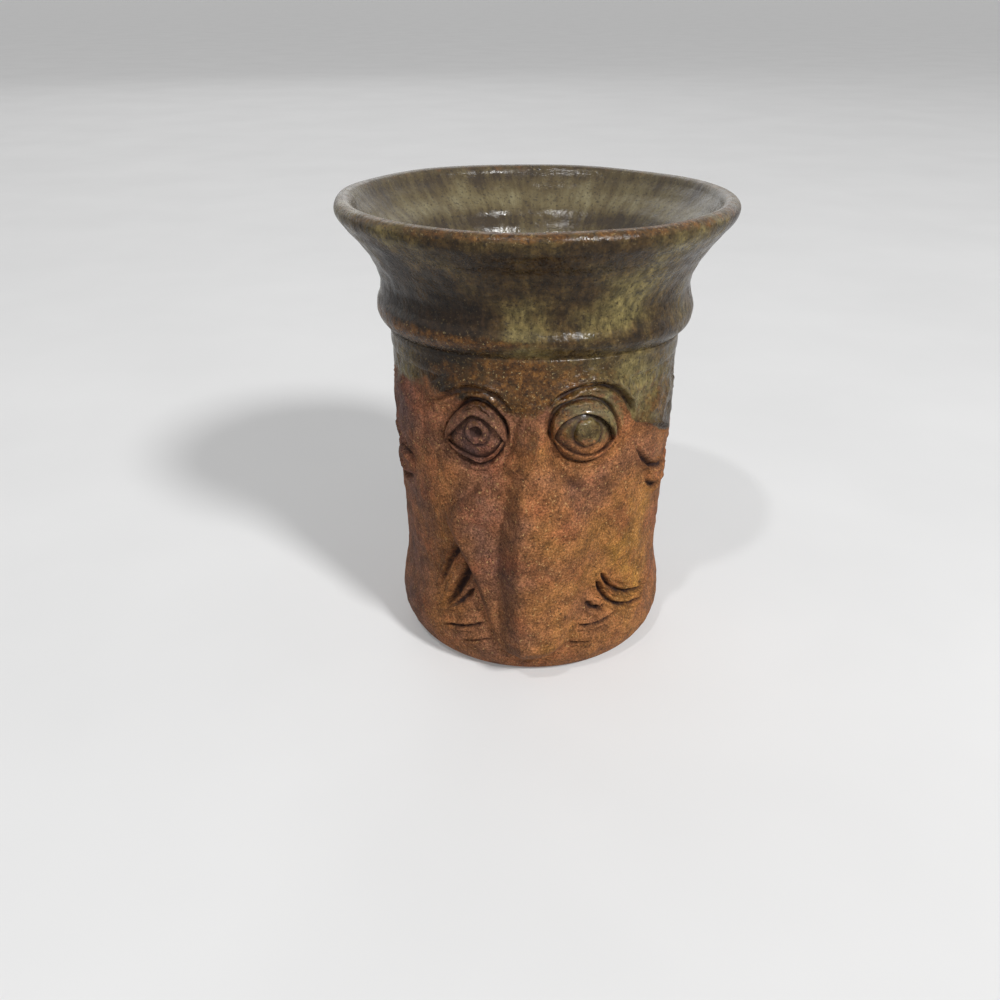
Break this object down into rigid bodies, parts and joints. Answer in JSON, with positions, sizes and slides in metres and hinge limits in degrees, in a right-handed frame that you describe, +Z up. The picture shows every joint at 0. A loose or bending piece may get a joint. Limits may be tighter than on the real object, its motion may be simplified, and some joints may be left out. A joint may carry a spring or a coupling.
{
  "type": "face vase",
  "caption": "Stoneware face vase: a thrown cylinder with a long wedge nose, applied eyes, brows and ears, under a flared, ash-glazed collar that holds stems.",
  "frame": {"origin": "centre of the flat foot, on the surface the vase stands on", "axes": "+Z up along the axis of the pot; the face looks along -Y; +X is to the right of someone who looks at the face"},
  "size_m": [0.116, 0.116, 0.14],
  "materials": {
    "stoneware": "toasted, unglazed, speckled",
    "ash_glaze": "satin, mottled olive brown",
    "liner_glaze": "glossy olive grey"
  },
  "bodies": {
    "root": {"thrown_body": "stoneware", "flared_collar": "stoneware", "nose_wedge": "stoneware", "left_eyeball": "stoneware", "left_iris": "stoneware", "left_upper_lid": "stoneware", "left_lower_lid": "stoneware", "left_brow": "stoneware", "left_ear": "stoneware", "right_eyeball": "stoneware", "right_iris": "stoneware", "right_upper_lid": "stoneware", "right_lower_lid": "stoneware", "right_brow": "stoneware", "right_ear": "stoneware", "dip_glaze": "ash_glaze", "liner_glaze": "liner_glaze"}
  },
  "joints": []
}
